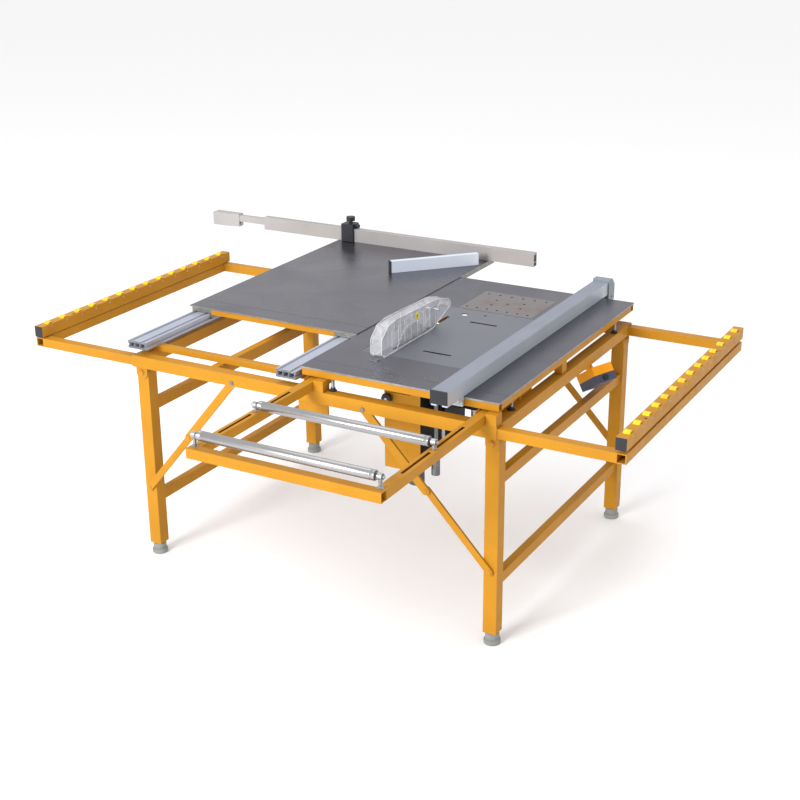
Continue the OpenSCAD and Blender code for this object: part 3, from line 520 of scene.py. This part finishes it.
def rollers():
    """Turned steel tubes with a seam band, chamfered ends and dark bearing rings."""
    for node in ("front_roller", "back_roller"):
        lo, hi = low(node), high(node)
        centre = (lo + hi) / 2
        r = (hi.z - lo.z) / 2 / MM
        length = (hi.x - lo.x) / MM
        kit = Kit(node + "_turned", BODY_OF[node], roller_skin, SLOT_OF[node])
        a, b = 28, length - 28
        kit.lathe((lo.x, centre.y, centre.z), X,
                  [(4.6, 0.3), (5, 1), (5, a - 1), (12, a - 1), (12, a),
                   (r - 1.4, a), (r, a + 1.6), (r, a + 15), (r - 0.35, a + 15.6),
                   (r - 0.35, a + 17), (r, a + 17.6), (r, b - 17.6), (r - 0.35, b - 17),
                   (r - 0.35, b - 15.6), (r, b - 15), (r, b - 1.6), (r - 1.4, b), (12, b), (12, b + 1),
                   (5, b + 1), (5, length - 1), (4.6, length - 0.3)], 64)
        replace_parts(kit.done(), node)
        rings = Kit(node + "_seals", BODY_OF[node], black, "black_plastic")
        for x, axis in ((lo.x + (a + 0.6) * MM, -X), (hi.x - (a + 0.6) * MM, X)):
            rings.ring((x, centre.y, centre.z), axis, 12.2, r - 2, 1.4)
        rings.done()


def roller_posts():
    """Eye bolts: threaded stem, flanged nut and a round eye for the roller's pin."""
    node = "roller_posts"
    lo, hi = low(node), high(node)
    kit = Kit("eye_bolts", BODY_OF[node], zinc, SLOT_OF[node])
    foot_z = lo.z
    for roller in ("front_roller_spin", "back_roller_spin"):
        pin = place(roller)
        for x in (lo.x + 8.5 * MM, hi.x - 8.5 * MM):
            drop = (pin.z - foot_z) / MM
            kit.lathe((x, pin.y, foot_z), Z, [(9.6, 0), (10, 0.4), (10, 1.8), (9, 2.4), (6, 2.4)])
            kit.hexagon((x, pin.y, foot_z + 2.2 * MM), Z, 15, 6)
            stem = [(5.2, 7), (5.2, 7.6)]
            turns = max(0, int((drop - 9.5 - 8) / 1.25))
            for k in range(turns):
                stem += [(5.9, 8 + k * 1.25 + 0.6), (5.2, 8 + k * 1.25 + 1.2)]
            kit.lathe((x, pin.y, foot_z), Z, stem, 20)
            kit.ring((x - 8 * MM, pin.y, pin.z), X, 5.05, 10.9, 16, 40)
    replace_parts(kit.done(), node)
    pins = Kit("roller_nuts", BODY_OF[node], zinc_dark, SLOT_OF[node])
    for roller in ("front_roller", "back_roller"):
        y, z = (low(roller).y + high(roller).y) / 2, (low(roller).z + high(roller).z) / 2
        for x, axis in ((low(roller).x + 5.5 * MM, -X), (high(roller).x - 5.5 * MM, X)):
            pins.ring((x, y, z), axis, 5.2, 8.5, 1.4)
    pins.done()


FOOT_PROFILE = [(27, 0), (29.2, 1.2), (30, 4), (30, 13), (29, 16), (26.5, 17.4), (24, 18.2), (23.6, 20.2),
                (24.6, 21.5), (25, 24), (25, 38), (24.2, 41.5), (21, 44), (12, 44.6), (12, 46)]


def bolts_and_feet():
    base = Kit("stand_bolt_heads", "base", zinc_dark, "zinc")
    painted = Kit("stand_bolt_washers", "base", coat, "yellow_paint")
    for side in ("right", "left"):
        pivot = place(side + "_leg_fold")
        upper = place(side + "_upper_turn")
        for y, axis in ((low("leg_brackets").y, -Y), (high("leg_brackets").y, Y)):
            painted.ring((pivot.x, y, pivot.z), axis, 10.4, 15, 1.4)
        for y, axis in ((low("front_beam").y, -Y), (high("back_beam").y, Y)):
            base.lathe((upper.x, y + 4 * MM * axis[1], upper.z), axis,
                       [(3.4, -0.6), (3.4, 0.2), (2.4, 0.3)], 6)
    base.done()
    painted.done()
    for side in ("right", "left"):
        lo, hi = low(side + "_feet"), high(side + "_feet")
        kit = Kit(side + "_levelling_feet", BODY_OF[side + "_feet"], grey, "foot_grey")
        stems = Kit(side + "_foot_stems", BODY_OF[side + "_feet"], zinc, "zinc")
        x = (lo.x + hi.x) / 2
        for y in (lo.y + 30 * MM, hi.y - 30 * MM):
            kit.lathe((x, y, 0), Z, FOOT_PROFILE, 48)
            stems.lathe((x, y, 42 * MM), Z, [(7.6, 0), (7.9, 1), (7.9, 29), (7, 30)], 24)
        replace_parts(kit.done(), side + "_feet")
        stems.done()


def table_studs():
    node = "table_studs"
    lo, hi = low(node), high(node)
    nuts = Kit("stud_nuts", "base", black, "black_plastic")
    studs = Kit("stud_screws", "base", zinc, "zinc")
    table_lo, table_hi = low("table_top"), high("table_top")
    spots = [(table_lo.x + 125 * MM, lo.y + 14 * MM), (table_hi.x - 19 * MM, table_lo.y + 135 * MM),
             (table_hi.x - 8 * MM, table_hi.y - 185 * MM), (table_lo.x + 125 * MM, hi.y - 14 * MM)]
    for x, y in spots:
        nuts.lathe((x, y, lo.z), Z, [(13.6, 0), (14, 0.6), (14, 2.6), (12, 3.4),
                                     (9.2, 4), (9.2, 11), (8, 12), (6, 12)])
        stem = [(5.3, 11)]
        for k in range(int(((hi.z - lo.z) / MM - 12) / 1.5)):
            stem += [(6, 11.6 + k * 1.5), (5.3, 12.4 + k * 1.5)]
        studs.lathe((x, y, lo.z), Z, stem, 20)
    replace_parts(nuts.done(), node)
    studs.done()


def welds():
    kit = Kit("weld_beads", "base", coat, "yellow_paint")
    beam_lo, beam_hi = low("front_beam"), high("front_beam")
    tubes = low("long_beams"), high("long_beams")
    for y in (tubes[0].y, tubes[1].y):
        for x in (tubes[0].x, tubes[0].x + 44 * MM, tubes[1].x - 44 * MM, tubes[1].x):
            kit.weld((x, y, beam_lo.z + 2 * MM), (x, y, beam_hi.z - 2 * MM))
    lo, hi = low("rail_supports"), high("rail_supports")
    for y in (lo.y, lo.y + 30 * MM, hi.y - 30 * MM, hi.y):
        for x in (beam_lo.x + 6 * MM, beam_lo.x + 332 * MM):
            kit.weld((x, y, beam_hi.z), (x + 24 * MM, y, beam_hi.z), 2.2)
    kit.done()
    for side in ("right", "left"):
        legs = Kit(side + "_leg_welds", side + "_leg_frame", coat, "yellow_paint")
        lo, hi = low(side + "_leg_rails"), high(side + "_leg_rails")
        for z0 in (lo.z, hi.z - 40 * MM):
            for y in (lo.y, hi.y):
                for x in (lo.x, hi.x):
                    legs.weld((x, y, z0 + 2 * MM), (x, y, z0 + 38 * MM), 2.2)
                for z in (z0, z0 + 40 * MM):
                    legs.weld((lo.x + 2 * MM, y, z), (hi.x - 2 * MM, y, z), 2.2)
        legs.done()


# ---- tables and fences ----
INSERT_SHARE = 610 / 850  # of the two plates' length, from the front


def dress_tables():
    dressed("table_top", [steel_main, steel_edge], 0.7, on_side(2))
    dressed("slide_top", [steel_slide, steel_edge], 0.7, on_side(2))
    split = low("insert_plates").lerp(high("insert_plates"), INSERT_SHARE).y
    lo, hi = low("insert_plates"), high("insert_plates")

    def plate_face(c, n):
        if abs(n.z) > 0.8:
            return 0 if c.y < split else 1
        outer = min(c.x - lo.x, hi.x - c.x, c.y - lo.y, hi.y - c.y, abs(c.y - split)) < 2 * MM
        # Inner walls of the holes and slots take the near-black screw finish: painted shade inside the openings.
        return 2 if outer else 3

    dressed("insert_plates", [steel_plate, steel_router, steel_edge, screw_blue_and_hole_shade], 0.4, plate_face)
    screws = Kit("plate_screws", "base", screw_blue_and_hole_shade, "zinc")
    for x in (lo.x + 14 * MM, hi.x - 14 * MM):
        for y in (lo.y + 14 * MM, split - 20 * MM):
            screws.lathe((x, y, hi.z - 1.6 * MM), Z,
                         [(5, 0), (5, 1.3), (4.6, 1.7), (2.2, 1.7), (2.0, 0.9)], 24)
    screws.done()


def dress_fences():
    dressed("slide_rails", [alu_y, zinc_dark], 0.6, lambda c, n: 1 if abs(n.y) > 0.8 else 0)
    dressed("cross_fence", alu_warm, 0.8)
    dressed("fence_bar", alu_warm, 1.2)
    # Side faces take the lighter aluminium copy: painted reflection.
    dressed("rip_fence", [alu_fence, alu_painted_reflection_side], 0.9, on_side(2))
    dressed("rip_lock", alu_cast, 4.0, segments=3)
    dressed("rip_cap", black, 1.5)
    dressed("rip_lever", black, 1.2)
    dressed("flip_stop", black, 2.0)
    pivot = place("mitre_bar_turn")
    reach = 371 * MM
    dressed("mitre_bar", [alu_cool, black], 0.8,
            lambda c, n: 1 if (Vector((c.x, c.y, 0)) - Vector((pivot.x, pivot.y, 0))).length > reach else 0)
    dressed("carriages", carriage_skin, 1.0)


def guard_details():
    """Ribs, rims, warning dot and front bracket of the clear guard."""
    lo, hi = low("blade_guard"), high("blade_guard")
    ribs = Kit("guard_ribs", "guard", clear_rim, "clear_guard")
    length = hi.y - lo.y
    for k in range(8):
        y = lo.y + length * (0.14 + 0.09 * k)
        top = hi.z - (22 + 14 * abs(k - 3)) * MM * 0.5
        for x in (lo.x, hi.x):
            ribs.block((x - 0.6 * MM, y, lo.z + 8 * MM), (x + 0.6 * MM, y + 1.8 * MM, top), 0.4)
    rim = [(0.03, 10), (0.027, 0), (0.73, 0), (1.0, 52), (1.0, 68), (0.96, 84), (0.79, 106), (0.21, 115),
           (0.09, 106), (0.0, 66), (0.0, 12), (0.03, 2)]
    points = [Vector((0, lo.y + f * length, lo.z + z * MM)) for f, z in rim]
    for x in (lo.x, hi.x):
        for a, b in zip(points, points[1:]):
            ribs.weld(a + X * x, b + X * x, 1.5)
    ribs.done()
    dot = Kit("guard_dot", "guard", dot_skin, "clear_guard")
    spot = (hi.x, lo.y + 0.495 * length, lo.z + 85 * MM)
    dot.lathe(spot, X, [(13, 0), (13, 0.5), (12.4, 0.8), (3, 0.8)])
    dot.done()
    eye = Kit("guard_dot_centre", "guard", black, "black_plastic")
    eye.lathe((spot[0] + 0.7 * MM, spot[1], spot[2]), X, [(4, 0), (4, 0.5), (3.5, 0.7)])
    eye.done()
    plate = Kit("guard_front_bracket", "base", zinc_dark, "zinc")
    x, y, z = (lo.x + hi.x) / 2, lo.y, high("insert_plates").z
    plate.block((x - 17 * MM, y - 24 * MM, z), (x + 17 * MM, y + 6 * MM, z + 2.2 * MM), 0.8)
    for side in (-9, 9):
        plate.lathe((x + side * MM, y - 12 * MM, z + 2 * MM), Z,
                    [(5, 0), (5, 1.4), (4.2, 2.2), (2.2, 2.3)], 24)
    plate.done()


def slot_lips():
    """The pressed lip behind each handle slot in the insert plate."""
    top = high("insert_plates").z
    rise = min(1.2 * MM, 0.6 * (low("rip_fence").z - top))
    if rise < 0.1 * MM:
        return
    kit = Kit("slot_lips", "base", steel_edge, SLOT_OF["insert_plates"])
    for opening in frame["record"]["physics"]["openings"]:
        if opening["name"].startswith("handle_slot"):
            lo, hi = opening["box_m"]
            x = (lo[0] + hi[0]) / 2
            kit.block((x - 56 * MM, hi[1] + 3.4 * MM, top),
                      (x + 56 * MM, hi[1] + 6.6 * MM, top + rise), 0.3 * rise / MM)
    kit.done()


BOX_TURN = (-123.965, -5.535, 59.421)  # the hanging box's tilt, as in the part's source
COVER_MIDDLE = (45, 50, 59)


def control_details():
    """Cable gland on the hanging control box, and the knob's grip ribs on the housing."""
    turn = Euler([math.radians(a) for a in BOX_TURN]).to_matrix()
    corner = (low("control_cover") + high("control_cover")) / 2 - turn @ Vector(COVER_MIDDLE) * MM
    up = turn @ Vector((0, -1, 0))
    gland = Kit("control_gland", "base", zinc, "zinc")
    gland.lathe(corner + turn @ Vector((24, 0, 40)) * MM, up,
                [(11, -2), (11, 5), (9.5, 6), (9.5, 15), (8, 18), (4, 18)], 6)
    gland.done()
    knob = Kit("side_knob_lobes", "side_knob", black, "black_plastic")
    lo, hi = low("side_knob"), high("side_knob")
    at = Vector(((lo.x + hi.x) / 2, lo.y, (lo.z + hi.z) / 2))
    knob.lathe(at + Y * 20 * MM, -Y,
               [(6, 0), (9, 1), (9.5, 4), (17, 6), (19.4, 8), (20, 11), (20, 15), (18.6, 18),
                (14, 19.6), (7, 20), (6.4, 19.4)], 40)
    for k in range(8):
        t = math.tau * k / 8
        knob.lathe(at + Vector((math.cos(t), 0, math.sin(t))) * 17.6 * MM + Y * 14 * MM, -Y,
                   [(2.6, 0), (3.4, 1), (3.4, 10), (2.4, 11.4)], 16)
    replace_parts(knob.done(), "side_knob")
    stem = Kit("side_knob_stem", "side_knob", zinc, "zinc")
    stem.lathe(at + Y * 35 * MM, -Y, [(5.4, 0), (5.9, 0.8), (5.9, 17), (5.4, 17.4)], 24)
    stem.lathe(at + Y * 0.4 * MM, -Y, [(5.6, 0), (5.6, 0.8), (4.6, 1.3)], 24)
    stem.done()


def dress_saw():
    dressed("dust_port", port_skin, 1.0)
    dressed("lift_guides", zinc, 0.8)
    dressed("lift_screw", zinc_dark, 0.8)
    dressed("riving_knife", blade_skin, 0.4)
    dressed("saw_blade", blade_skin, 0.3)
    dressed("arbor", zinc_dark, 0.6)
    dressed("lift_plate", motor_skin, 1.2)
    dressed("motor", motor_skin, 1.2)
    dressed("motor_pulley", zinc_dark, 0.6)
    dressed("drive_belt", rubber, 0.5)
    dressed("belt_cover", black, 1.0)
    dressed("blade_guard", clear, 1.4)
    dressed("control_box", coat_orange, 2.5)
    dressed("control_cover", slate, 2.0)
    dressed("start_button", black, 1.5)
    pivot = place("right_leg_fold").z + 0.015
    dressed("pivot_bolts", [coat, zinc_dark], 1.0, lambda c, n: 0 if c.z < pivot else 1)


dress_frame()
dress_housing()
dress_strips()
for side in ("right", "left"):
    strip_wheels(side)
rollers()
roller_posts()
bolts_and_feet()
table_studs()
welds()
dress_tables()
dress_fences()
dress_saw()
guard_details()
slot_lips()
control_details()


# ---- stage ----
def floor():
    mesh = bpy.data.meshes.new("floor")
    size = 40
    corners = [(-size, -size, 0), (size, -size, 0), (size, size, 0), (-size, size, 0)]
    mesh.from_pydata(corners, [], [(0, 1, 2, 3)])
    s = Shade("floor_white", (0.92, 0.92, 0.93), 0.9)
    mesh.materials.append(s.mat)
    plane = bpy.data.objects.new("floor", mesh)
    bpy.context.collection.objects.link(plane)


def lamp(name, at, size, power, color=(1, 1, 1)):
    light = bpy.data.lights.new(name, "AREA")
    light.shape = "RECTANGLE"
    light.size, light.size_y = size
    light.energy = power
    light.color = color
    lamp_object = bpy.data.objects.new(name, light)
    bpy.context.collection.objects.link(lamp_object)
    lamp_object.location = at
    aim = Vector((0, 0, 0.7)) - Vector(at)
    lamp_object.rotation_euler = aim.to_track_quat("-Z", "Y").to_euler()


def lights():
    world = bpy.data.worlds.new("studio")
    bpy.context.scene.world = world
    world.use_nodes = True
    world.node_tree.nodes["Background"].inputs["Color"].default_value = (1, 1, 1, 1)
    world.node_tree.nodes["Background"].inputs["Strength"].default_value = 0.99
    lamp("key", (-1.6, -8.4, 4.2), (3.4, 2.6), 800)
    lamp("top", (-0.5, 1.0, 5.5), (4.0, 3.5), 60)


def camera():
    azimuth, elevation, roll = math.radians(29.27), math.radians(21.28), math.radians(-0.397)
    lens = bpy.data.cameras.new("camera")
    lens.lens = 64.04
    lens.sensor_width = 36
    view = bpy.data.objects.new("camera", lens)
    bpy.context.collection.objects.link(view)
    turn = (Matrix.Rotation(azimuth, 4, "Z") @ Matrix.Rotation(math.pi / 2 - elevation, 4, "X")
            @ Matrix.Rotation(roll, 4, "Z"))
    view.matrix_world = Matrix.Translation((2.6929, -4.3079, 2.5795)) @ turn
    bpy.context.scene.camera = view


floor()
lights()
camera()
bpy.context.scene.view_settings.view_transform = "Standard"
